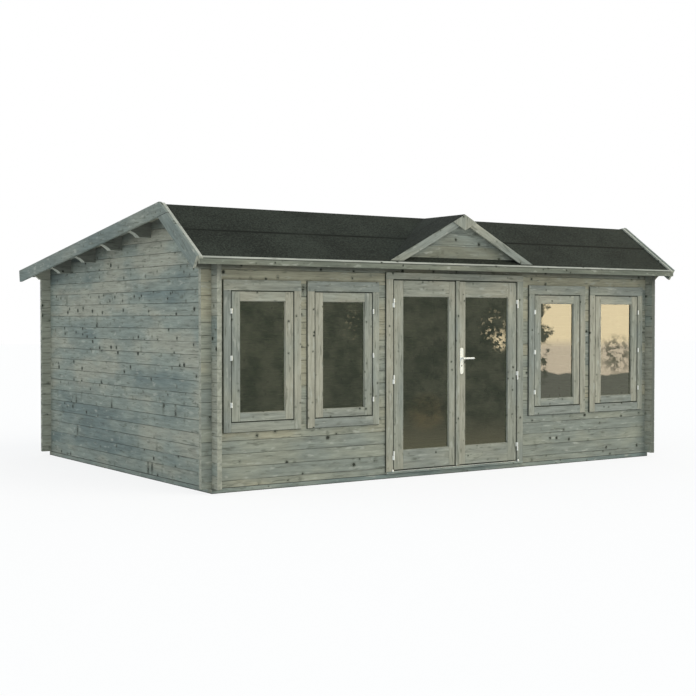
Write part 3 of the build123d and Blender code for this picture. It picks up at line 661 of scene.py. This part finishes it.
def turned(name, rows, outline, material, body):
    """Small turned parts: an outline of (radius, height) spun once round an upright or a Y axis.

    A row is (place, axis). Point (i, j) lies at the outline's radius i, turned by angle j of 24. The outline
    rises from one end on the axis to another, and each end is one pole.
    """
    count = 24
    turn = np.arange(count) * 2 * np.pi / count
    radius, height = np.array(outline, float).T
    rings = len(radius) - 2
    unit = np.zeros((rings * count + 2, 3))
    unit[[0, -1], 2] = height[[0, -1]]
    unit[1:-1, 0] = np.outer(radius[1:-1], np.cos(turn)).ravel()
    unit[1:-1, 1] = np.outer(radius[1:-1], np.sin(turn)).ravel()
    unit[1:-1, 2] = np.repeat(height[1:-1], count)
    this = np.arange(count)
    after = (this + 1) % count
    top = 1 + (rings - 1) * count
    fans = np.vstack([np.stack([0 * this, 1 + after, 1 + this], axis=1),
                      np.stack([0 * this + len(unit) - 1, top + this, top + after], axis=1)])
    low = 1 + count * np.arange(rings - 1)[:, None]
    bands = np.stack([low + this, low + after, low + count + after, low + count + this], axis=-1)
    bands = bands.reshape(-1, 4)
    points, faces = [], []
    for k, (place, axis) in enumerate(rows):
        points.append(np.array(place) + (unit if axis == 2 else unit[:, [0, 2, 1]]))
        way = 1 if axis == 2 else -1
        faces += (fans[:, ::way] + k * len(unit)).tolist() + (bands[:, ::way] + k * len(unit)).tolist()
    return piece(name, np.vstack(points), faces, material, body)


# Rows of boards, where x and z hold the outer, inner, inner and outer edges of what they go round
def ring_rows(x, z, y0, y1):
    """Two upright boards, and the foot and the head between them."""
    return [((x[0], y0, z[0]), (x[1], y1, z[3]), 2), ((x[2], y0, z[0]), (x[3], y1, z[3]), 2),
            ((x[1], y0, z[0]), (x[2], y1, z[1]), 0), ((x[1], y0, z[2]), (x[2], y1, z[3]), 0)]


def casing_rows(x, z, y0, y1):
    """The head over both uprights, and the foot between them."""
    return [((x[0], y0, z[2]), (x[3], y1, z[3]), 0), ((x[0], y0, z[0]), (x[1], y1, z[2]), 2),
            ((x[2], y0, z[0]), (x[3], y1, z[2]), 2), ((x[1], y0, z[0]), (x[2], y1, z[1]), 0)]


def seal_rows(x, z, y_face):
    """The dark seal round a sash or a leaf whose face lies at y_face, which also paints the shade in the gap
    round it.
    """
    sizes = settings()[0]
    y0 = y_face + sizes.seal_set
    return ring_rows(x, z, y0, y0 + sizes.seal_depth)


def rim_rows(x, z, y_front, y_wall):
    """The dark seal at both sides of a casing and under it, between its front and the wall, which paints the
    shade on the casing's sides and foot.
    """
    sizes = settings()[0]
    wide = sizes.seal_reach
    x0, x1, z0, z1 = x[0], x[-1], z[0], z[-1]
    y0 = y_front + sizes.casing_set
    return [((x0 - wide, y0, z0 - wide), (x0, y_wall, z1), 2),
            ((x1, y0, z0 - wide), (x1 + wide, y_wall, z1), 2),
            ((x0, y0, z0 - wide), (x1, y_wall, z0), 0)]


def bead_rows(x0, x1, z0, z1, y_front, y_back):
    """The beads on both faces of a pane."""
    return [(x0, x1, z0, z1, y_front, -1.0), (x0, x1, z0, z1, y_back, 1.0)]


def finish(material, *nodes):
    """Gives nodes of the frame a finish."""
    for node in nodes:
        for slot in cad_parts[node].material_slots:
            slot.material = material


# Steps
class GARDENHOUSE_OT_logs(bpy.types.Operator):
    """Finishes the stacked logs of the walls and the small gable"""
    bl_idname = "garden_house.logs"
    bl_label = "Logs"

    def execute(self, context):
        sizes, colours, _ = settings()
        sill_top = corners("long_sills")[1][2]
        half_up = sill_top + sizes.log_height / 2
        for side in SIDES:
            wall = f"{side}_wall"
            points = vertices(wall)
            # The right wall's cut ends take the darker grey for both end tones
            cut_tones = (colours.end_grey, colours.end_grey) if side == "right" else None
            # The side walls carry painted shade close under the roof, which meets at their highest corner
            logs = log_finish(f"{wall}_logs", Y_AXIS, sill_top, tones_of("side"), SIDE_WARMTH,
                              ends_from=corners("back_wall")[1][1], cut_tones=cut_tones,
                              ridge=points[points[:, 2].argmax()])
            finish(logs, wall)
            logs = log_finish(f"front_{side}_logs", X_AXIS, half_up, tones_of("log"))
            finish(logs, f"front_{side}_lower", f"front_{side}_piers")
        # The top courses of the front wall carry painted shade under the fascia
        logs = log_finish("front_top_logs", X_AXIS, half_up, tones_of("log"), TOP_WARMTH,
                          shade_from=corners("front_fascia")[0][2] - sizes.eave_shade)
        finish(logs, "front_wall_top")
        back_tones = (colours.log_cool, colours.log_plain, colours.end_pale)
        logs = log_finish("back_logs", X_AXIS, half_up, back_tones, ends_from=corners("right_wall")[0][0],
                          ends_warmth=BACK_ENDS_WARMTH, cut_tones=(colours.end_grey, colours.end_pale))
        finish(logs, "back_wall")
        # Painted shade: the gable face under the small roof takes darker tones than the front logs
        gable_shade_tones = (colours.fascia_warm, colours.log_cool, colours.log_plain)
        first_board = levels("gable_face", 2)[0] + sizes.log_height
        finish(log_finish("gable_boards", X_AXIS, first_board, gable_shade_tones), "gable_face")
        return {"FINISHED"}


class GARDENHOUSE_OT_floor(bpy.types.Operator):
    """Lays the floor boards and finishes the sill frame"""
    bl_idname = "garden_house.floor"
    bl_label = "Floor"

    def execute(self, context):
        low, high = corners("floor")
        count = round((high[1] - low[1]) / settings()[0].floor_board)
        edges = np.linspace(low[1], high[1], count + 1)
        rows = [((low[0], y0, low[2]), (high[0], y1, high[2]), 0) for y0, y1 in zip(edges, edges[1:])]
        planed = board_finish("floor_wood", tones_of("log"))
        boards("floor_boards", rows, planed, "house", ("floor",))
        low, high = corners("long_sills")
        # Dark lines along the sills: a joint at their top, and painted contact shade at their foot
        lines = ((Z_AXIS, low[2]), (Z_AXIS, high[2]))
        tones = tones_of("side")
        finish(board_finish("sill_wood", tones, X_AXIS, SILL_STEP, lines), "long_sills")
        finish(board_finish("joist_wood", tones, Y_AXIS, JOIST_STEP, lines), "end_sills", "floor_joists")
        return {"FINISHED"}


class GARDENHOUSE_OT_roof(bpy.types.Operator):
    """Finishes the felt, the roof boards, the purlins and the trim"""
    bl_idname = "garden_house.roof"
    bl_label = "Roof"

    def execute(self, context):
        sizes = settings()[0]
        trim, strip, joinery = tones_of("trim"), tones_of("strip"), tones_of("joinery")
        finish(felt_finish("roof_felt"), "roof_felt_front", "roof_felt_back", "gable_felt")
        finish(board_finish("roof_board_wood", tones_of("log"), Y_AXIS, sizes.roof_board),
               "roof_deck_front", "roof_deck_back", "gable_deck")
        # The purlins' faces along Y carry painted shade
        finish(board_finish("purlin_wood", strip, X_AXIS, PURLIN_STEP, painted_shade_way=Y_AXIS), "purlins")
        finish(board_finish("fascia_wood", tones_of("fascia"), X_AXIS), "front_fascia", "back_fascia")
        strip_foot = (Z_AXIS, corners("eave_batten")[0][2] + sizes.edge_round)
        finish(board_finish("eave_strip_wood", strip, X_AXIS, seams=(strip_foot,)), "eave_batten")
        finish(board_finish("verge_strip_wood", strip, Y_AXIS), "verge_battens")
        finish(board_finish("verge_wood", trim, Y_AXIS), "left_back_bargeboard", "right_back_bargeboard")
        grain = np.array((0.0, math.cos(sizes.front_slope), math.sin(sizes.front_slope)))
        for side in SIDES:
            node = f"{side}_front_bargeboard"
            seams = (self.butt_joint(node),)
            finish(board_finish(f"{side}_verge_wood", trim, grain, seams=seams), node)
        for side, way in zip(SIDES, (1.0, -1.0)):
            grain = np.array((math.cos(sizes.gable_slope), 0.0, way * math.sin(sizes.gable_slope)))
            planed = board_finish(f"gable_{side}_wood", joinery, grain, GABLE_STEP)
            finish(planed, f"gable_{side}_bargeboard")
        finish(board_finish("gable_cover_wood", joinery, Z_AXIS, GABLE_STEP), "gable_cover_board")
        return {"FINISHED"}

    def butt_joint(self, node):
        """Where a short bargeboard butts on the long one: a line from its highest to its rearmost corner."""
        points = vertices(node)
        high, rear = points[points[:, 2].argmax()], points[points[:, 1].argmax()]
        across = np.cross(X_AXIS, rear - high)
        normal = across / np.linalg.norm(across)
        return normal, float(normal @ high)


class GARDENHOUSE_OT_windows(bpy.types.Operator):
    """Builds the window casings, the sashes and their beads, and finishes panes and hinges"""
    bl_idname = "garden_house.windows"
    bl_label = "Windows"

    def execute(self, context):
        joinery = board_finish("joinery_wood", tones_of("joinery"))
        # Dark seals, which also paint the shade in the gaps and beside the casings
        seal = shared("dark_seal_and_shade", seal_and_shade_finish)
        for side in SIDES:
            openings = self.casings(side, joinery, seal)
            self.sashes(side, openings, joinery, seal)
        finish(shared("pane_glass", glass_finish), "window_glass")
        finish(shared("pale_metal", metal_finish), "window_hinges")
        return {"FINISHED"}

    def casings(self, side, joinery, seal):
        """Boards of the two frames on one side and the dark seals round them, painted shade on the casings'
        sides and feet. Returns the openings' edges.
        """
        node = f"{side}_window_frames"
        y_front, y_face, y_sash, y_inner, y_back = levels(node, 1)
        z = levels(node, 2)
        rows, rims, shares, openings = [], [], [], []
        for x, front_tones in zip(levels(node, 0).reshape(-1, 8), WINDOW_CASING_TONES):
            openings.append((x[[2, 5]], z[[2, 5]]))
            rims += rim_rows(x, z, y_front, y_face)
            rows += casing_rows(x[[0, 2, 5, 7]], z[[0, 2, 5, 7]], y_front, y_face)
            rows += casing_rows(x[[0, 3, 4, 7]], z[[0, 3, 4, 7]], y_inner, y_back)
            rows += ring_rows(x[[1, 2, 5, 6]], z[[1, 2, 5, 6]], y_face, y_inner)
            rows += ring_rows(x[2:6], z[2:6], y_sash, y_inner)
            shares += front_tones
            shares += [MIDDLE_TONE] * (len(rows) - len(shares))
        boards(f"{side}_window_casings", rows, joinery, "house", (node,), shares)
        # Dark seals round the casings: painted shade on their sides and feet
        boards(f"{side}_casing_seals", rims, seal, "house")
        return openings

    def sashes(self, side, openings, joinery, seal):
        """Stiles and rails of the two sashes on one side, the beads in them and the dark seals round them,
        which also paint the gaps' shade.
        """
        wide = settings()[0].seal_width
        pane_faces = levels("window_glass", 1)
        node = f"{side}_window_sashes"
        y0, y1 = levels(node, 1)[[0, -1]]
        z = levels(node, 2)
        low, high = z[0] + wide, z[5] - wide
        rows, panes, strips = [], [], []
        for x, (clear_x, clear_z) in zip(levels(node, 0).reshape(-1, 6), openings):
            left, right = x[0] + wide, x[5] - wide
            rows += ring_rows((left, x[2], x[3], right), (low, z[2], z[3], high), y0, y1)
            panes += bead_rows(x[2], x[3], z[2], z[3], *pane_faces)
            strips += seal_rows((clear_x[0], left, right, clear_x[1]),
                                (clear_z[0], low, high, clear_z[1]), y0)
        boards(f"{side}_sash_members", rows, joinery, "house", (node,), np.ravel(SASH_TONES))
        beads(f"{side}_sash_beads", panes, joinery, "house")
        # Dark seals round the sashes, which also paint the shade in the gaps
        boards(f"{side}_sash_seals", strips, seal, "house")


class GARDENHOUSE_OT_doors(bpy.types.Operator):
    """Builds the door frame, the two leaves and their beads, and finishes panes and threshold"""
    bl_idname = "garden_house.doors"
    bl_label = "Doors"

    def execute(self, context):
        colours = settings()[1]
        tones = tones_of("joinery")
        joinery = board_finish("door_wood", tones)
        # Dark seals, which also paint the shade in the gaps and beside the casings
        seal = shared("dark_seal_and_shade", seal_and_shade_finish)
        self.casings(joinery, seal)
        for side in SIDES:
            self.leaf(side, joinery, seal)
            finish(shared("pane_glass", glass_finish), f"{side}_door_glass")
        finish(board_finish("strip_wood", tones, Z_AXIS), "meeting_strip")
        threshold_tones = (colours.side_cool, colours.side_plain, colours.side_plain)
        finish(board_finish("threshold_wood", threshold_tones, X_AXIS), "threshold")
        return {"FINISHED"}

    def casings(self, joinery, seal):
        """Boards of the door frame, which has no foot, and the dark seals beside it, painted shade on its
        sides.
        """
        x, y, z = (levels("door_frame", axis) for axis in range(3))
        y_front, y_face, y_stop, y_inner, y_back = y
        rows = casing_rows(x[[0, 2, 5, 7]], z[[0, 0, 2, 4]], y_front, y_face)[:3]
        rows += casing_rows(x[[0, 3, 4, 7]], z[[0, 0, 1, 4]], y_inner, y_back)[:3]
        for ring in (ring_rows(x[[1, 2, 5, 6]], z[[0, 0, 2, 3]], y_face, y_inner),
                     ring_rows(x[2:6], z[[0, 0, 1, 2]], y_stop, y_inner)):
            left, right, _, head = ring
            rows += [left, right, head]
        shares = (*DOOR_CASING_TONES, *[MIDDLE_TONE] * (len(rows) - len(DOOR_CASING_TONES)))
        boards("door_casings", rows, joinery, "house", ("door_frame",), shares)
        # Dark seals beside the door frame: painted shade on its sides
        rims = rim_rows(x, z, y_front, y_face)[:2]
        boards("door_casing_seals", rims, seal, "house")

    def leaf(self, side, joinery, seal):
        """Stiles and rails of one leaf, its beads and its dark seal, which also paints the gap's shade and
        which the right leaf lacks at the middle.
        """
        sizes = settings()[0]
        body = f"{side}_door"
        node = f"{side}_door_leaf"
        low, high = corners(node)
        pane_low, pane_high = corners(f"{side}_door_glass")
        x0, _, z0 = pane_low + sizes.pane_seat
        x1, _, z1 = pane_high - sizes.pane_seat
        inner, outer = low + sizes.seal_width, high - sizes.seal_width
        if side == "right":
            inner[0] = low[0]
        rows = ring_rows((inner[0], x0, x1, outer[0]), (inner[2], z0, z1, outer[2]), low[1], high[1])
        boards(f"{side}_leaf_members", rows, joinery, body, (node,), DOOR_TONES[side])
        # Dark seal round the leaf, which also paints the shade in the gap
        reach = np.array([-sizes.seal_reach, 0.0, 0.0, sizes.seal_reach])
        strips = seal_rows(np.array([low[0], inner[0], outer[0], high[0]]) + reach,
                           np.array([low[2], inner[2], outer[2], high[2]]) + reach, low[1])
        boards(f"{side}_leaf_seals", strips if side == "left" else strips[1:], seal, body)
        panes = bead_rows(x0, x1, z0, z1, pane_low[1], pane_high[1])
        beads(f"{side}_leaf_beads", panes, joinery, body)


class GARDENHOUSE_OT_fittings(bpy.types.Operator):
    """Finishes the hinges and the lever handle, and adds the strip's caps and the keyhole"""
    bl_idname = "garden_house.fittings"
    bl_label = "Fittings"

    def execute(self, context):
        sizes = settings()[0]
        metal = shared("pale_metal", metal_finish)
        finish(metal, "left_leaf_hinges", "right_leaf_hinges", "casing_hinges", "handle_plates",
               "lever_handle", "threshold_strip")
        low, high = corners("threshold_strip")
        radius = sizes.cap_radius
        rows = [((x, low[1] - radius, low[2]), 2) for x in (low[0] - radius, high[0] + radius)]
        outline = np.array(CAP_OUTLINE) * (radius, sizes.cap_height)
        turned("strip_caps", rows, outline, metal, "house")
        low, high = corners("handle_plates")
        lever_low, lever_high = corners("lever_handle")
        z = (lever_low[2] + lever_high[2]) / 2 - sizes.keyhole_drop
        radius = sizes.keyhole_radius
        rows = [(((low[0] + high[0]) / 2, y_face, z), 1) for y_face in (low[1], high[1])]
        outline = np.array(KEYHOLE_OUTLINE) * (radius, radius / 6)
        turned("keyholes", rows, outline, shared("dark_seal_and_shade", seal_and_shade_finish), "right_door")
        return {"FINISHED"}


class GARDENHOUSE_OT_stage(bpy.types.Operator):
    """Sets the floor, the background, the light and the camera"""
    bl_idname = "garden_house.stage"
    bl_label = "Stage"

    def execute(self, context):
        stage = settings()[2]
        scene = context.scene
        scene.view_settings.view_transform = "Standard"
        self.camera(scene, stage)
        self.background(scene, stage)
        self.ground(stage)
        self.main_light(scene, stage)
        self.card(stage)
        return {"FINISHED"}

    def camera(self, scene, stage):
        lens = bpy.data.cameras.new("photo_camera")
        lens.lens = stage.lens
        lens.sensor_width = 36.0
        lens.clip_end = 500.0
        camera = bpy.data.objects.new("photo_camera", lens)
        camera.location = stage.camera_place
        camera.rotation_euler = (math.pi / 2 - stage.camera_dip, 0.0, -stage.camera_turn)
        scene.collection.objects.link(camera)
        scene.camera = camera

    def background(self, scene, stage):
        """White where it is seen or mirrored, and an even soft light for all else."""
        scene.world = bpy.data.worlds.new("white_studio")
        scene.world.use_nodes = True
        graph = Graph("", scene.world.node_tree)
        path = graph.node("LightPath")
        seen = graph.math("MAXIMUM", path.outputs["Is Camera Ray"], path.outputs["Is Glossy Ray"])
        seen = graph.math("MAXIMUM", seen, path.outputs["Is Transmission Ray"])
        shade = graph.mix(seen, rgba(stage.sky), WHITE)
        strength = graph.node("Mix", {0: seen, 2: stage.sky_strength, 3: 1.0}).outputs[0]
        light = graph.node("Background", {"Color": shade, "Strength": strength})
        graph.node("OutputWorld", {"Surface": light.outputs[0]})

    def sheet(self, name, points, faces, material, unseen_by):
        """A surface of the stage, which rays of some kinds pass by."""
        mesh = bpy.data.meshes.new(name)
        mesh.from_pydata(points, [], faces)
        mesh.materials.append(material)
        made = bpy.data.objects.new(name, mesh)
        for ray in unseen_by:
            setattr(made, f"visible_{ray}", False)
        bpy.context.scene.collection.objects.link(made)

    def ground(self, stage):
        """A pale floor that is white to the camera and keeps the shadow."""
        graph = Graph("pale_floor")
        fleck = graph.noise(graph.object_place(), 8.0)
        shade = graph.scaled(tuple(stage.floor), graph.rise(fleck, 0.0, 1.0, 0.985, 1.0))
        matt = graph.node("BsdfDiffuse", {"Color": shade})
        glow = graph.node("Emission", {"Color": WHITE, "Strength": 1.0})
        share = graph.node("LightPath").outputs["Is Camera Ray"]
        share = graph.math("MULTIPLY", share, 1.0 - stage.floor_share)
        both = graph.node("MixShader", {0: share, 1: matt.outputs[0], 2: glow.outputs[0]})
        reach = 60.0
        points = [(-reach, -reach, 0), (reach, -reach, 0), (reach, reach, 0), (-reach, reach, 0)]
        self.sheet("floor_plane", points, [(0, 1, 2, 3)], graph.surface(both.outputs[0]), ("glossy",))

    def main_light(self, scene, stage):
        lamp = bpy.data.lights.new("key", "SUN")
        lamp.energy = stage.key_strength
        lamp.color = stage.key
        lamp.angle = stage.key_spread
        light = bpy.data.objects.new("key", lamp)
        light.rotation_euler = (math.pi / 2 - stage.key_height, 0.0, stage.key_turn)
        scene.collection.objects.link(light)

    def card(self, stage):
        """Curved card that only mirrors show.

        Point (i, j) of the sheet lies at bearing i on a circle round the camera's mirror image in the front
        panes, at height j.
        """
        eye = np.array(stage.camera_place)
        eye[1] = 2 * levels("window_glass", 1)[0] - eye[1]
        turn = np.radians(np.linspace(*CARD_BEARINGS, CARD_STEPS + 1))
        turn, height = np.meshgrid(turn, CARD_HEIGHTS, indexing="ij")
        points = np.stack([eye[0] + CARD_REACH * np.sin(turn), eye[1] - CARD_REACH * np.cos(turn), height],
                          axis=-1)
        first = 2 * np.arange(CARD_STEPS)
        faces = np.stack([first, first + 1, first + 3, first + 2], axis=1)
        self.sheet("mirror_card", points.reshape(-1, 3), faces, self.card_finish(stage, eye),
                   ("camera", "diffuse", "transmission", "volume_scatter", "shadow"))

    def card_finish(self, stage, eye):
        """An evening sky over dark hills, with trees on the left, by bearing and level from the eye."""
        graph = Graph("mirror_card")
        place = graph.object_place()
        away = graph.vector("SUBTRACT", place, tuple(eye))
        forward = graph.math("MULTIPLY", graph.part(away, "Y"), -1.0)
        bearing = graph.math("DEGREES", graph.math("ARCTAN2", graph.part(away, "X"), forward))
        level = graph.math("DIVIDE", graph.part(away, "Z"), CARD_REACH)

        def spot(middle, reach):
            """Soft ellipse: one in the middle, none at its rim."""
            across = graph.math("DIVIDE", graph.math("SUBTRACT", bearing, middle[0]), reach[0])
            up = graph.math("DIVIDE", graph.math("SUBTRACT", level, middle[1]), reach[1])
            square = graph.math("MULTIPLY_ADD", across, across, graph.math("MULTIPLY", up, up))
            return graph.rise(square, 1.0, 0.0)

        shade = graph.mix(graph.rise(level, *HAZE_LEVELS), rgba(stage.card_haze), rgba(stage.card_sky))
        ridge = graph.math("MULTIPLY_ADD", graph.noise(place, 1.1, 4.0), *HILLS)
        hills = graph.rise(graph.math("SUBTRACT", level, ridge), 0.001, -0.001)
        shade = graph.mix(hills, shade, rgba(stage.card_hills))
        shrub = graph.rise(graph.noise(place, 7.0, 5.0, 0.75), 0.45, 0.55, 0.0, 0.9)
        shade = graph.mix(graph.math("MULTIPLY", shrub, spot(*SHRUB)), shade, rgba(stage.card_leaves))
        leaves = graph.noise(place, 2.2, 5.0, 0.7)
        trees = graph.mix(graph.rise(leaves, 0.35, 0.65), rgba(stage.card_trees), rgba(stage.card_leaves))
        trees = graph.mix(graph.rise(level, *FOOT_LEVELS), trees, rgba(stage.card_foot))
        low_sun = graph.math("MULTIPLY", spot(*LOW_SUN), graph.rise(leaves, 0.3, 0.7, 0.1, 0.6))
        trees = graph.mix(low_sun, trees, rgba(stage.card_glow))
        between = graph.noise(place, 12.0, 2.0, 0.6)
        for ellipse, start, most in LEAF_GAPS:
            gaps = graph.math("MULTIPLY", graph.rise(between, start, start + 0.1, 0.0, most), spot(*ellipse))
            trees = graph.mix(gaps, trees, rgba(stage.card_sky))
        crown = graph.math("ADD", bearing, graph.math("MULTIPLY_ADD", leaves, -TREE_SWAY, TREE_SWAY / 2))
        shade = graph.mix(graph.rise(crown, *TREE_EDGE), shade, trees)
        shade = graph.scaled(shade, stage.card_strength)
        return graph.surface(graph.node("Emission", {"Color": shade, "Strength": 1.0}).outputs[0])


class GARDENHOUSE_PT_panel(bpy.types.Panel):
    """Lists the steps and their values"""
    bl_idname = "GARDENHOUSE_PT_panel"
    bl_label = "Garden House"
    bl_space_type = "VIEW_3D"
    bl_region_type = "UI"
    bl_category = "Garden House"

    def draw(self, context):
        for step in STEPS:
            self.layout.operator(step.bl_idname)
        for group in settings():
            box = self.layout.box()
            for key in group.bl_rna.properties.keys():
                if key not in ("rna_type", "name"):
                    box.prop(group, key)


GROUPS = {"sizes": HouseSizes, "colours": HouseColours, "stage": StageSettings}
STEPS = (GARDENHOUSE_OT_logs, GARDENHOUSE_OT_floor, GARDENHOUSE_OT_roof, GARDENHOUSE_OT_windows,
         GARDENHOUSE_OT_doors, GARDENHOUSE_OT_fittings, GARDENHOUSE_OT_stage)
CLASSES = (*GROUPS.values(), *STEPS, GARDENHOUSE_PT_panel)


def register():
    for item in CLASSES:
        bpy.utils.register_class(item)
    for key, group in GROUPS.items():
        setattr(bpy.types.Scene, f"garden_house_{key}", PointerProperty(type=group))


def unregister():
    for key in GROUPS:
        delattr(bpy.types.Scene, f"garden_house_{key}")
    for item in reversed(CLASSES):
        bpy.utils.unregister_class(item)


def main():
    """Runs every step in order."""
    register()
    for step in STEPS:
        group, name = step.bl_idname.split(".")
        getattr(getattr(bpy.ops, group), name)()


if __name__ == "__main__":
    main()
